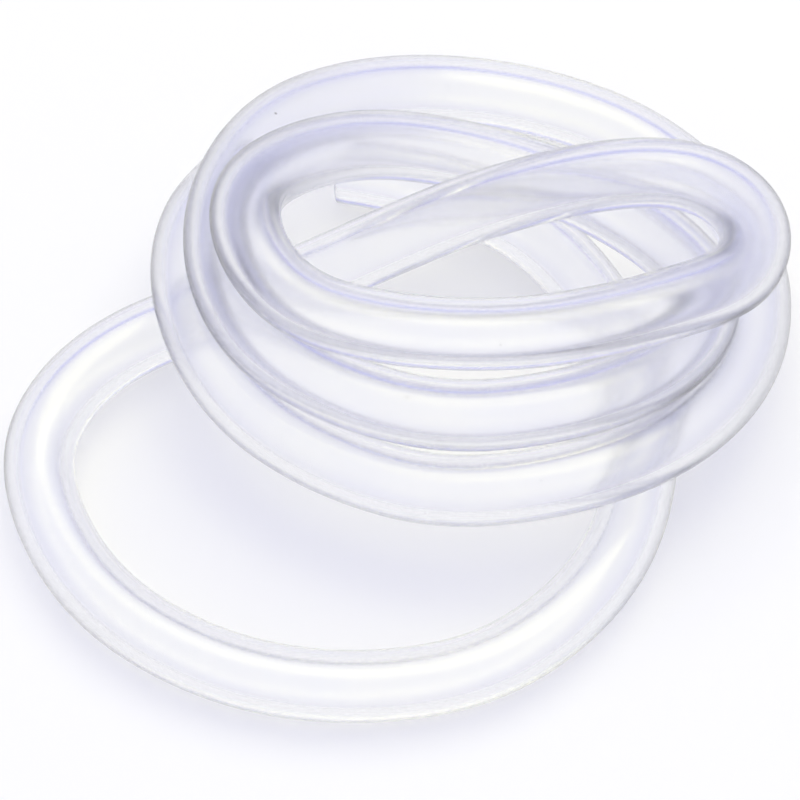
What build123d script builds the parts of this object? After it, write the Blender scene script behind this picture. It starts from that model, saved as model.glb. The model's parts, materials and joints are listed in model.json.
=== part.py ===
from build123d import *
import math
import os

# A length of clear silicone tubing, coiled by hand and let go on a bench.
# It is one piece: a soft round tube, open at both ends, in four loose turns.
# Frame: +Z up, the bench at Z = 0, the origin under the middle of the coil, -Y towards the viewer.

# Driving dimensions, in millimetres
tube_diameter = 10.0
bore_diameter = 6.0
end_easing = 0.2

# How much of the shorter run beside a corner of the route its arc takes up
arc_share = 0.45

# Where the middle of the tube goes, in tube diameters: X, Y and height.
# A stretch on the bench is at height 0.5, and one that lies on another is a diameter higher,
# so the turns rest on each other and never run through each other, whatever the tube measures.
route = [
    # the first end, on the bench under the back of the coil, and round to the right
    (-0.85, 4.1, 0.5), (0.55, 3.7, 0.5), (2.2, 2.6, 0.5),
    # the big loop, flat on the bench in front of the other turns
    (3.4, 0.0, 0.5), (3.1, -3.05, 0.5), (1.15, -5.15, 0.5), (-1.8, -5.35, 0.5), (-4.2, -3.85, 0.5),
    (-5.15, -1.3, 0.5), (-4.05, 0.65, 0.5),
    # in under the left side and up across the middle
    (-1.65, 1.7, 0.6), (0.85, 2.1, 1.8),
    # the tight bend at the top right
    (3.0, 2.15, 2.55), (4.3, 1.85, 2.75), (4.95, 0.95, 2.9), (4.8, -0.15, 3.1),
    # the top turn, which dips at the back to lean on the strand below
    (3.8, -1.0, 3.4), (1.4, -1.7, 3.5), (-1.4, -1.25, 3.6), (-2.2, 1.0, 3.45), (-0.35, 3.1, 2.2),
    # the middle turn
    (2.55, 2.85, 1.45), (4.35, 0.75, 1.75), (3.5, -1.5, 2.4), (0.65, -2.3, 2.45), (-1.9, -1.1, 2.55),
    (-2.6, 1.3, 2.45), (-1.7, 3.95, 1.8),
    # the outer turn, down to the bench at the back
    (0.6, 5.5, 0.75), (3.25, 4.9, 0.5), (4.95, 2.75, 0.55), (4.95, 0.0, 1.0), (3.4, -2.25, 1.6),
    (0.5, -2.85, 1.5), (-2.0, -1.5, 1.5),
    # the second end, on the left, tucked in under the back of the middle turn
    (-3.0, 0.5, 1.6), (-2.95, 2.25, 1.4), (-2.4, 3.55, 0.95),
]


def halfway(before, start, end, after):
    """The point between start and end on a smooth curve through all four."""
    return (9 * (start + end) - before - after) / 16


def route_points():
    """The corners of the route in millimetres: each station, and a point between each two."""
    stations = [Vector(*station) * tube_diameter for station in route]
    stations.insert(0, stations[0] * 2 - stations[1])
    stations.append(stations[-1] * 2 - stations[-2])
    points = [stations[1]]
    for before, start, end, after in zip(stations, stations[1:], stations[2:], stations[3:]):
        middle = halfway(before, start, end, after)
        points.append(Vector(middle.X, middle.Y, max(middle.Z, tube_diameter / 2)))
        points.append(end)
    return points


def arc_radii(points):
    """The largest tangent arc that the two runs beside each corner leave room for."""
    radii = []
    for before, corner, after in zip(points, points[1:], points[2:]):
        run_in, run_out = corner - before, after - corner
        half_turn = math.radians(run_in.get_angle(run_out)) / 2
        radii.append(arc_share * min(run_in.length, run_out.length) / math.tan(half_turn))
    return radii


corners = route_points()
radii = arc_radii(corners)

with BuildPart() as silicone_tube:
    with BuildLine() as centreline:
        FilletPolyline(*corners, radius=radii)
    with BuildSketch(Plane(origin=corners[0], z_dir=corners[1] - corners[0])):
        Circle(tube_diameter / 2)
        Circle(bore_diameter / 2, mode=Mode.SUBTRACT)
    sweep(path=centreline.wires()[0])
    # Both cut ends are flat, with their inner and outer edges just taken off.
    cut_ends = silicone_tube.faces().filter_by(GeomType.PLANE)
    chamfer(cut_ends.edges(), end_easing)

silicone_tube.part.label = "silicone_tube"

os.makedirs("parts", exist_ok=True)
export_step(silicone_tube.part, "parts/silicone_tube.step")

length = centreline.wires()[0].length
section = math.pi * (tube_diameter**2 - bore_diameter**2) / 4
box = silicone_tube.part.bounding_box()
print("arc radii, mm:", " ".join(f"{radius:.0f}" for radius in radii))
print(f"tightest radius {min(radii):.1f} mm, tube length {length:.1f} mm")
print(f"volume {silicone_tube.part.volume:.0f} mm3, section times length {section * length:.0f} mm3")
for mouth, next_corner in ((corners[0], corners[1]), (corners[-1], corners[-2])):
    run = (next_corner - mouth).length * (1 - arc_share)
    axis = (mouth - next_corner).normalized()
    bore = mouth - axis * (run + end_easing) / 2
    print(f"mouth {mouth}, bore middle {bore}, axis {axis}, straight wall {run - end_easing:.2f} mm")
print(f"box {box.min.X:.2f} {box.min.Y:.2f} {box.min.Z:.2f} to {box.max.X:.2f} {box.max.Y:.2f} {box.max.Z:.2f}")
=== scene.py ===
"""A coil of clear silicone tubing, lying loose on a white surface."""

import json
import math

import bmesh
import bpy
from bpy.props import FloatProperty, FloatVectorProperty, IntProperty, PointerProperty
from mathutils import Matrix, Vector

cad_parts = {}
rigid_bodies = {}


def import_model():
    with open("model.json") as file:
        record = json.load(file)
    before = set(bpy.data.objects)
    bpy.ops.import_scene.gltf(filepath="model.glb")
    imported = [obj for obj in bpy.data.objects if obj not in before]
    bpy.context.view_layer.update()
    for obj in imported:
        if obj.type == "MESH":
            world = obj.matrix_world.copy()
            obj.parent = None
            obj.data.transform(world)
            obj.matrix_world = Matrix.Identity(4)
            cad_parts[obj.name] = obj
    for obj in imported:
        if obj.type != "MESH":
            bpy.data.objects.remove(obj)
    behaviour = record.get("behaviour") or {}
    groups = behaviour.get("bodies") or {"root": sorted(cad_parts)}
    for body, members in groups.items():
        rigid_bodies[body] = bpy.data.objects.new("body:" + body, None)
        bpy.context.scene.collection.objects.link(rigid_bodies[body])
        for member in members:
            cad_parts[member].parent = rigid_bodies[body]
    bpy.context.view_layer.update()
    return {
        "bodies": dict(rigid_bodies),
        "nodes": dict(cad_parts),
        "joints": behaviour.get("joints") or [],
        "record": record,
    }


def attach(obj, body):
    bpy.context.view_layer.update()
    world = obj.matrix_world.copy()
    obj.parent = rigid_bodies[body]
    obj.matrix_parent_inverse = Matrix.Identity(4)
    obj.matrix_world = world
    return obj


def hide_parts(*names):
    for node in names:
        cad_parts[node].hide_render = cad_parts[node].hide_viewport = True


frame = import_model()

bl_info = {
    "name": "Silicone Tubing Coil",
    "version": (1, 0, 0),
    "blender": (4, 5, 0),
    "location": "3D View > Sidebar > Tubing",
    "description": "A loose coil of clear silicone tubing on a white surface",
    "category": "Add Mesh",
}

TUBE_NODE = "silicone_tube"

# The order of the spline that the tube's line follows
LINE_ORDER = 3

# Where the cut ends are in the tube's UV map: behind its start, so that the material can tell them apart
CUT_SPOT = (0, -1)

# Patterns of the silicone, in its Object coordinates
CLOUD_SCALE = 60
CLOUD_DETAIL = 4
CLOUD_REACH = (0.35, 0.6)
SPECK_SCALE = 110
SPECK_SIZE = 0.02

# Fine lines drawn along the tube: how finely they vary round it and along it, in its UV map
DRAWN_SCALE = (24, 60, 1)
DRAWN_STRENGTH = 0.03
DRAWN_DEPTH = 0.0002

# How the painted edge shade gathers at the sides of the tube, and the roughness of its cloudiest and
# clearest parts
EDGE_SHADE_GATHERING = 1.4
ROUGHNESS_REACH = (0.16, 0.24)

# The width of the surface and the place of the lamp, in metres
FLOOR_SIZE = 6
LAMP_PLACE = (0.15, 0.32, 1.15)
FLOOR_ROUGHNESS = 0.6

# The heights between which the sky goes from its horizon's colour to white
HORIZON_REACH = (0.05, 0.6)
WHITE = (1, 1, 1)

# Where the middle of the tube goes, in tube diameters: X, Y and height.
# A stretch on the surface is at height 0.5, and one that lies on another is a diameter higher.
ROUTE = [
    # the first end, on the surface under the back of the coil, and round to the right
    (-0.85, 4.1, 0.5), (0.55, 3.7, 0.5), (2.2, 2.6, 0.5),
    # the big loop, flat on the surface in front of the other turns
    (3.4, 0.0, 0.5), (3.1, -3.05, 0.5), (1.15, -5.15, 0.5), (-1.8, -5.35, 0.5), (-4.2, -3.85, 0.5),
    (-5.15, -1.3, 0.5), (-4.05, 0.65, 0.5),
    # in under the left side and up across the middle
    (-1.65, 1.7, 0.6), (0.85, 2.1, 1.8),
    # the tight bend at the top right
    (3.0, 2.15, 2.55), (4.3, 1.85, 2.75), (4.95, 0.95, 2.9), (4.8, -0.15, 3.1),
    # the top turn, which dips at the back to lean on the strand below
    (3.8, -1.0, 3.4), (1.4, -1.7, 3.5), (-1.4, -1.25, 3.6), (-2.2, 1.0, 3.45), (-0.35, 3.1, 2.2),
    # the middle turn
    (2.55, 2.85, 1.45), (4.35, 0.75, 1.75), (3.5, -1.5, 2.4), (0.65, -2.3, 2.45), (-1.9, -1.1, 2.55),
    (-2.6, 1.3, 2.45), (-1.7, 3.95, 1.8),
    # the outer turn, down to the surface at the back
    (0.6, 5.5, 0.75), (3.25, 4.9, 0.5), (4.95, 2.75, 0.55), (4.95, 0.0, 1.0), (3.4, -2.25, 1.6),
    (0.5, -2.85, 1.5), (-2.0, -1.5, 1.5),
    # the second end, on the left, tucked in under the back of the middle turn
    (-3.0, 0.5, 1.6), (-2.95, 2.25, 1.4), (-2.4, 3.55, 0.95),
]


def colour_setting(name, description, default):
    """A colour that the panel shows."""
    return FloatVectorProperty(name=name, description=description, default=default, size=3, subtype="COLOR")


class TubingSettings(bpy.types.PropertyGroup):
    """Sizes and colours of the tubing, its camera and its stage."""

    tube_diameter: FloatProperty(
        name="Outside diameter", description="Outside diameter of the tube",
        default=0.010, unit="LENGTH")
    bore_diameter: FloatProperty(
        name="Bore", description="Inside diameter of the tube",
        default=0.006, unit="LENGTH")
    end_easing: FloatProperty(
        name="End easing", description="How much is taken off the edges of the cut ends",
        default=0.0002, unit="LENGTH")
    steps: IntProperty(
        name="Steps", description="Rings of the mesh for each point of the route", default=8)
    sides: IntProperty(
        name="Sides", description="Points round each ring of the mesh", default=48)
    tint: colour_setting(
        name="Silicone", description="Colour of the clear silicone",
        default=(0.985, 0.986, 1.0))
    clouding: colour_setting(
        name="Clouding", description="Colour of the cloudier patches of the silicone",
        default=(0.965, 0.967, 1.0))
    # Painted shade: a deeper lilac mixed into the silicone where its surfaces are seen edge on. It stands in
    # for the shade at the tube's sides and is not a colour of the silicone.
    painted_edge_shade: colour_setting(
        name="Edge tint", description="Colour of the silicone where it is seen edge on, through more of it",
        default=(0.84, 0.845, 1.0))
    dust: colour_setting(
        name="Dust", description="Colour of the few specks of dust that cling to the tube",
        default=(0.16, 0.15, 0.18))
    clearness: FloatProperty(
        name="Clearness", description="Share of the light that goes through the silicone",
        default=0.99, subtype="FACTOR")
    cut_clearness: FloatProperty(
        name="Clearness of the cuts", description="Share of the light that goes through the cut ends",
        default=0.35, subtype="FACTOR")
    refraction: FloatProperty(
        name="Refraction", description="Index of refraction of silicone rubber", default=1.41)
    floor_colour: colour_setting(
        name="Surface", description="Colour of the surface that the coil lies on",
        default=(0.99, 0.99, 1.0))
    glow_colour: colour_setting(
        name="Surface glow", description="Colour mixed into the surface where it is seen directly",
        default=(0.945, 0.945, 1.0))
    glow_seen: FloatProperty(
        name="Glow seen", description="Share of the glow where the surface is seen directly",
        default=0.62, subtype="FACTOR")
    horizon_colour: colour_setting(
        name="Horizon", description="Colour of the sky low down, as the tube shows it",
        default=(0.5, 0.51, 0.95))
    sky_colour: colour_setting(
        name="Sky", description="Colour of the soft light from all round",
        default=(0.56, 0.57, 1.0))
    sky_strength: FloatProperty(
        name="Sky strength", description="Strength of the soft light from all round", default=0.9)
    lamp_colour: colour_setting(
        name="Lamp", description="Colour of the large lamp overhead; with the sky it adds up to white",
        default=(1.0, 0.98, 0.42))
    lamp_size: FloatProperty(
        name="Lamp size", description="Diameter of the lamp overhead",
        default=1.3, unit="LENGTH")
    lamp_power: FloatProperty(
        name="Lamp power", description="Power of the lamp overhead",
        default=11, unit="POWER")
    camera_height: FloatProperty(
        name="Camera elevation", description="Angle of the view above level",
        default=math.radians(50), subtype="ANGLE")
    camera_distance: FloatProperty(
        name="Camera distance", description="From the camera to the middle of the view",
        default=0.9, unit="LENGTH")
    view_middle: FloatProperty(
        name="View middle", description="How far behind the middle of the coil the camera aims",
        default=0.001, unit="LENGTH")
    view_width: FloatProperty(
        name="View width", description="Width of the view at the middle of the coil",
        default=0.1143, unit="LENGTH")


def halfway(before, start, end, after):
    """The point between start and end on a smooth curve through all four."""
    return (9 * (start + end) - before - after) / 16


def route_points(diameter):
    """The control points of the tube's line: each station, and a point between each two."""
    stations = [Vector(station) * diameter for station in ROUTE]
    stations.insert(0, stations[0] * 2 - stations[1])
    stations.append(stations[-1] * 2 - stations[-2])
    points = [stations[1]]
    for before, start, end, after in zip(stations, stations[1:], stations[2:], stations[3:]):
        middle = halfway(before, start, end, after)
        middle.z = max(middle.z, diameter / 2)
        points += [middle, end]
    return points


def smooth_line(points, steps):
    """Points read from the NURBS spline that has these control points."""
    curve = bpy.data.curves.new("tube_line", "CURVE")
    curve.dimensions = "3D"
    spline = curve.splines.new("NURBS")
    spline.points.add(len(points) - 1)
    for corner, point in zip(spline.points, points):
        corner.co = (*point, 1)
    spline.order_u = LINE_ORDER
    spline.use_endpoint_u = True
    spline.resolution_u = steps
    holder = bpy.data.objects.new("tube_line", curve)
    bpy.context.scene.collection.objects.link(holder)
    bpy.context.view_layer.update()
    mesh = bpy.data.meshes.new_from_object(holder)
    line = [vertex.co.copy() for vertex in mesh.vertices]
    bpy.data.objects.remove(holder)
    bpy.data.curves.remove(curve)
    bpy.data.meshes.remove(mesh)
    return line


def ring_frames(line):
    """At each point of the line, two directions across it that don't twist along it."""
    frames = []
    side = Vector((0, 0, 1))
    for place, point in enumerate(line):
        ahead = line[min(place + 1, len(line) - 1)] - line[max(place - 1, 0)]
        ahead.normalize()
        side = (side - ahead * side.dot(ahead)).normalized()
        frames.append((point, side, ahead.cross(side)))
    return frames


def eased_frames(frames, easing):
    """The frames with the first and the last drawn in from the mouths, to where the easing starts."""
    (first, *first_sides), (second, *_) = frames[:2]
    (before, *_), (last, *last_sides) = frames[-2:]
    first_eased = first + (second - first).normalized() * easing
    last_eased = last + (before - last).normalized() * easing
    return [(first_eased, *first_sides), *frames[1:-1], (last_eased, *last_sides)]


def ring(bm, frame, radius, sides):
    """A ring of vertices round one point of the line."""
    point, side, across = frame
    turns = [2 * math.pi * turn / sides for turn in range(sides)]
    return [bm.verts.new(point + side * (radius * math.cos(turn)) + across * (radius * math.sin(turn)))
            for turn in turns]


def lengths_along(line):
    """The length of tube before each point of the line."""
    lengths = [0.0]
    for start, end in zip(line, line[1:]):
        lengths.append(lengths[-1] + (end - start).length)
    return lengths


def skin(bm, rings, lengths, uv, inward):
    """Faces between the rings, mapped by their share of the way round and their metres along the tube."""
    sides = len(rings[0])
    for place in range(len(rings) - 1):
        for turn in range(sides):
            after = (turn + 1) % sides
            corners = [rings[place][turn], rings[place][after],
                       rings[place + 1][after], rings[place + 1][turn]]
            rounds = [turn / sides, (turn + 1) / sides, (turn + 1) / sides, turn / sides]
            alongs = [lengths[place], lengths[place], lengths[place + 1], lengths[place + 1]]
            spots = list(zip(rounds, alongs))
            if inward:
                corners.reverse()
                spots.reverse()
            face = bm.faces.new(corners)
            face.smooth = True
            for loop, spot in zip(face.loops, spots):
                loop[uv].uv = spot


def band(bm, outer, inner, uv, flip):
    """Flat faces between two rings at an end of the tube."""
    sides = len(outer)
    for turn in range(sides):
        after = (turn + 1) % sides
        corners = [outer[turn], outer[after], inner[after], inner[turn]]
        if flip:
            corners.reverse()
        face = bm.faces.new(corners)
        for loop in face.loops:
            loop[uv].uv = CUT_SPOT


def tube_mesh(line, settings):
    """The hollow tube: its outer wall, its bore and its two cut ends."""
    bm = bmesh.new()
    uv = bm.loops.layers.uv.new("along_tube")
    mouths = ring_frames(line)
    frames = eased_frames(mouths, settings.end_easing)
    lengths = lengths_along(line)
    outer_radius, inner_radius = settings.tube_diameter / 2, settings.bore_diameter / 2
    outer = [ring(bm, frame, outer_radius, settings.sides) for frame in frames]
    inner = [ring(bm, frame, inner_radius, settings.sides) for frame in frames]
    skin(bm, outer, lengths, uv, inward=False)
    skin(bm, inner, lengths, uv, inward=True)
    for end, flip in ((0, True), (-1, False)):
        outer_lip = ring(bm, mouths[end], outer_radius - settings.end_easing, settings.sides)
        inner_lip = ring(bm, mouths[end], inner_radius + settings.end_easing, settings.sides)
        band(bm, outer[end], outer_lip, uv, flip)
        band(bm, outer_lip, inner_lip, uv, flip)
        band(bm, inner_lip, inner[end], uv, flip)
    mesh = bpy.data.meshes.new("silicone_tubing")
    bm.to_mesh(mesh)
    bm.free()
    return mesh, lengths[-1]


def feed(holder, sockets, values):
    """Link each socket to an output of another node, or set it to a number or a colour."""
    for socket, value in zip(sockets, values):
        if isinstance(value, bpy.types.NodeSocket):
            holder.node_tree.links.new(value, socket)
        elif socket.type == "RGBA":
            socket.default_value = (*value, 1)
        else:
            socket.default_value = value


def maths(holder, operation, *values):
    """The result of a Math node in the holder's node tree."""
    node = holder.node_tree.nodes.new("ShaderNodeMath")
    node.operation = operation
    feed(holder, node.inputs, values)
    return node.outputs["Value"]


def mixed(holder, share, first, second):
    """The first colour, with this share of the second mixed in."""
    node = holder.node_tree.nodes.new("ShaderNodeMixRGB")
    feed(holder, node.inputs, (share, first, second))
    return node.outputs["Color"]


def ramped(holder, value, reach, first, second):
    """Colours from the first to the second, as the value goes over its reach."""
    node = holder.node_tree.nodes.new("ShaderNodeValToRGB")
    for stop, position, colour in zip(node.color_ramp.elements, reach, (first, second)):
        stop.position = position
        stop.color = (*colour, 1)
    feed(holder, node.inputs, (value,))
    return node.outputs["Color"]


def by_gloss_or_glass(holder, path):
    """1 where a ray comes by a glossy reflection or through something clear, and 0 elsewhere."""
    return maths(holder, "MAXIMUM", path.outputs["Is Glossy Ray"], path.outputs["Is Transmission Ray"])


def show_mix(holder, share, first, second, output):
    """Show the first shader, with this share of the second mixed in."""
    node = holder.node_tree.nodes.new("ShaderNodeMixShader")
    feed(holder, node.inputs, (share, first, second))
    holder.node_tree.links.new(node.outputs["Shader"], output.inputs["Surface"])


def silicone_material(settings):
    """Clear silicone rubber: faint clouds, painted lilac shade at its sides, a little dust, drawn lines and
    milky cuts.
    """
    material = bpy.data.materials.new("clear_silicone")
    material.use_nodes = True
    nodes, links = material.node_tree.nodes, material.node_tree.links
    shader = nodes["Principled BSDF"]
    shader.inputs["IOR"].default_value = settings.refraction
    place = nodes.new("ShaderNodeTexCoord")

    along = nodes.new("ShaderNodeSeparateXYZ")
    links.new(place.outputs["UV"], along.inputs["Vector"])
    cut = maths(material, "LESS_THAN", along.outputs["Y"], CUT_SPOT[1] / 2)
    less_clear = settings.cut_clearness - settings.clearness
    links.new(maths(material, "MULTIPLY_ADD", cut, less_clear, settings.clearness),
              shader.inputs["Transmission Weight"])

    clouds = nodes.new("ShaderNodeTexNoise")
    clouds.inputs["Scale"].default_value = CLOUD_SCALE
    clouds.inputs["Detail"].default_value = CLOUD_DETAIL
    links.new(place.outputs["Object"], clouds.inputs["Vector"])
    clouded = ramped(material, clouds.outputs["Fac"], CLOUD_REACH, settings.clouding, settings.tint)

    # Painted shade: the colour is mixed towards the edge colour where the outer wall and the bore are seen
    # edge on, so the tube's sides come out darker lilac.
    facing = nodes.new("ShaderNodeLayerWeight")
    edge_shade_share = maths(material, "POWER", facing.outputs["Facing"], EDGE_SHADE_GATHERING)
    edge_shaded = mixed(material, edge_shade_share, clouded, settings.painted_edge_shade)

    specks = nodes.new("ShaderNodeTexVoronoi")
    specks.inputs["Scale"].default_value = SPECK_SCALE
    links.new(place.outputs["Object"], specks.inputs["Vector"])
    dusty = maths(material, "LESS_THAN", specks.outputs["Distance"], SPECK_SIZE)
    links.new(mixed(material, dusty, edge_shaded, settings.dust), shader.inputs["Base Color"])

    haze = nodes.new("ShaderNodeMapRange")
    haze.inputs["To Min"].default_value, haze.inputs["To Max"].default_value = ROUGHNESS_REACH
    links.new(clouds.outputs["Fac"], haze.inputs["Value"])
    links.new(haze.outputs["Result"], shader.inputs["Roughness"])

    stretch = nodes.new("ShaderNodeMapping")
    stretch.inputs["Scale"].default_value = DRAWN_SCALE
    links.new(place.outputs["UV"], stretch.inputs["Vector"])
    drawn = nodes.new("ShaderNodeTexNoise")
    drawn.inputs["Scale"].default_value = 1
    links.new(stretch.outputs["Vector"], drawn.inputs["Vector"])
    bump = nodes.new("ShaderNodeBump")
    bump.inputs["Strength"].default_value = DRAWN_STRENGTH
    bump.inputs["Distance"].default_value = DRAWN_DEPTH
    links.new(drawn.outputs["Fac"], bump.inputs["Height"])
    links.new(bump.outputs["Normal"], shader.inputs["Normal"])
    return material


class TUBING_OT_camera(bpy.types.Operator):
    """Place the camera that looks down on the coil from the front"""
    bl_idname = "tubing.camera"
    bl_label = "Camera"

    def execute(self, context):
        settings = context.scene.tubing
        camera = bpy.data.cameras.new("camera")
        camera.lens = camera.sensor_width * settings.camera_distance / settings.view_width
        holder = bpy.data.objects.new("camera", camera)
        context.scene.collection.objects.link(holder)
        level, rise = math.cos(settings.camera_height), math.sin(settings.camera_height)
        aim = Vector((0, settings.view_middle, 0))
        holder.location = aim + Vector((0, -level, rise)) * settings.camera_distance
        holder.rotation_euler = (math.pi / 2 - settings.camera_height, 0, 0)
        context.scene.camera = holder
        return {"FINISHED"}


class TUBING_OT_tube(bpy.types.Operator):
    """Model the coiled tube along its route"""
    bl_idname = "tubing.tube"
    bl_label = "Silicone tubing"

    def execute(self, context):
        settings = context.scene.tubing
        points = route_points(settings.tube_diameter)
        line = smooth_line(points, settings.steps)
        mesh, length = tube_mesh(line, settings)
        mesh.materials.append(silicone_material(settings))
        tube = bpy.data.objects.new("silicone_tubing", mesh)
        context.scene.collection.objects.link(tube)
        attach(tube, "root")
        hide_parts(TUBE_NODE)
        return {"FINISHED"}


def floor_material(settings):
    """A plain white surface that keeps a pale shadow, and is plain white where the tube shows it."""
    material = bpy.data.materials.new("white_surface")
    material.use_nodes = True
    nodes, links = material.node_tree.nodes, material.node_tree.links
    shader = nodes["Principled BSDF"]
    shader.inputs["Base Color"].default_value = (*settings.floor_colour, 1)
    shader.inputs["Roughness"].default_value = FLOOR_ROUGHNESS
    path = nodes.new("ShaderNodeLightPath")
    through = by_gloss_or_glass(material, path)
    glow = nodes.new("ShaderNodeEmission")
    links.new(mixed(material, through, settings.glow_colour, WHITE), glow.inputs["Color"])
    share = maths(material, "MULTIPLY_ADD", path.outputs["Is Camera Ray"], settings.glow_seen, through)
    show_mix(material, share, shader.outputs["BSDF"], glow.outputs["Emission"], nodes["Material Output"])
    return material


def sky(settings):
    """Soft light from all round; the eye and the tube see it white above and lilac near the horizon."""
    world = bpy.data.worlds.new("soft_light")
    world.use_nodes = True
    nodes, links = world.node_tree.nodes, world.node_tree.links
    light = nodes["Background"]
    light.inputs["Color"].default_value = (*settings.sky_colour, 1)
    light.inputs["Strength"].default_value = settings.sky_strength
    place = nodes.new("ShaderNodeTexCoord")
    height = nodes.new("ShaderNodeSeparateXYZ")
    links.new(place.outputs["Generated"], height.inputs["Vector"])
    seen = nodes.new("ShaderNodeBackground")
    colours = ramped(world, height.outputs["Z"], HORIZON_REACH, settings.horizon_colour, WHITE)
    links.new(colours, seen.inputs["Color"])
    path = nodes.new("ShaderNodeLightPath")
    share = maths(world, "MAXIMUM", path.outputs["Is Camera Ray"], by_gloss_or_glass(world, path))
    show_mix(world, share, light.outputs["Background"], seen.outputs["Background"], nodes["World Output"])
    return world


class TUBING_OT_stage(bpy.types.Operator):
    """Set the white surface, the soft light from all round and the lamp overhead"""
    bl_idname = "tubing.stage"
    bl_label = "Stage and light"

    def execute(self, context):
        settings = context.scene.tubing
        scene = context.scene
        bpy.ops.object.select_all(action="DESELECT")
        bpy.ops.mesh.primitive_plane_add(size=FLOOR_SIZE)
        floor = context.object
        floor.name = "white_surface"
        floor.data.materials.append(floor_material(settings))

        scene.world = sky(settings)

        bpy.ops.object.light_add(type="AREA", location=LAMP_PLACE)
        lamp = context.object
        lamp.name = "overhead_lamp"
        lamp.data.shape = "DISK"
        lamp.data.size = settings.lamp_size
        lamp.data.energy = settings.lamp_power
        lamp.data.color = settings.lamp_colour
        lamp.rotation_euler = (-Vector(lamp.location)).to_track_quat("-Z", "Y").to_euler()
        scene.view_settings.view_transform = "Standard"
        return {"FINISHED"}


class TUBING_PT_panel(bpy.types.Panel):
    """The coil's sizes, colours and operators"""
    bl_idname = "TUBING_PT_panel"
    bl_label = "Silicone Tubing Coil"
    bl_space_type = "VIEW_3D"
    bl_region_type = "UI"
    bl_category = "Tubing"

    def draw(self, context):
        settings = context.scene.tubing
        for name in settings.bl_rna.properties.keys():
            if name not in ("rna_type", "name"):
                self.layout.prop(settings, name)
        for operator in (TUBING_OT_camera, TUBING_OT_tube, TUBING_OT_stage):
            self.layout.operator(operator.bl_idname)


CLASSES = (TubingSettings, TUBING_OT_camera, TUBING_OT_tube, TUBING_OT_stage, TUBING_PT_panel)


def register():
    for item in CLASSES:
        bpy.utils.register_class(item)
    bpy.types.Scene.tubing = PointerProperty(type=TubingSettings)


def unregister():
    del bpy.types.Scene.tubing
    for item in reversed(CLASSES):
        bpy.utils.unregister_class(item)


def main():
    register()
    bpy.ops.tubing.camera()
    bpy.ops.tubing.tube()
    bpy.ops.tubing.stage()


if __name__ == "__main__":
    main()
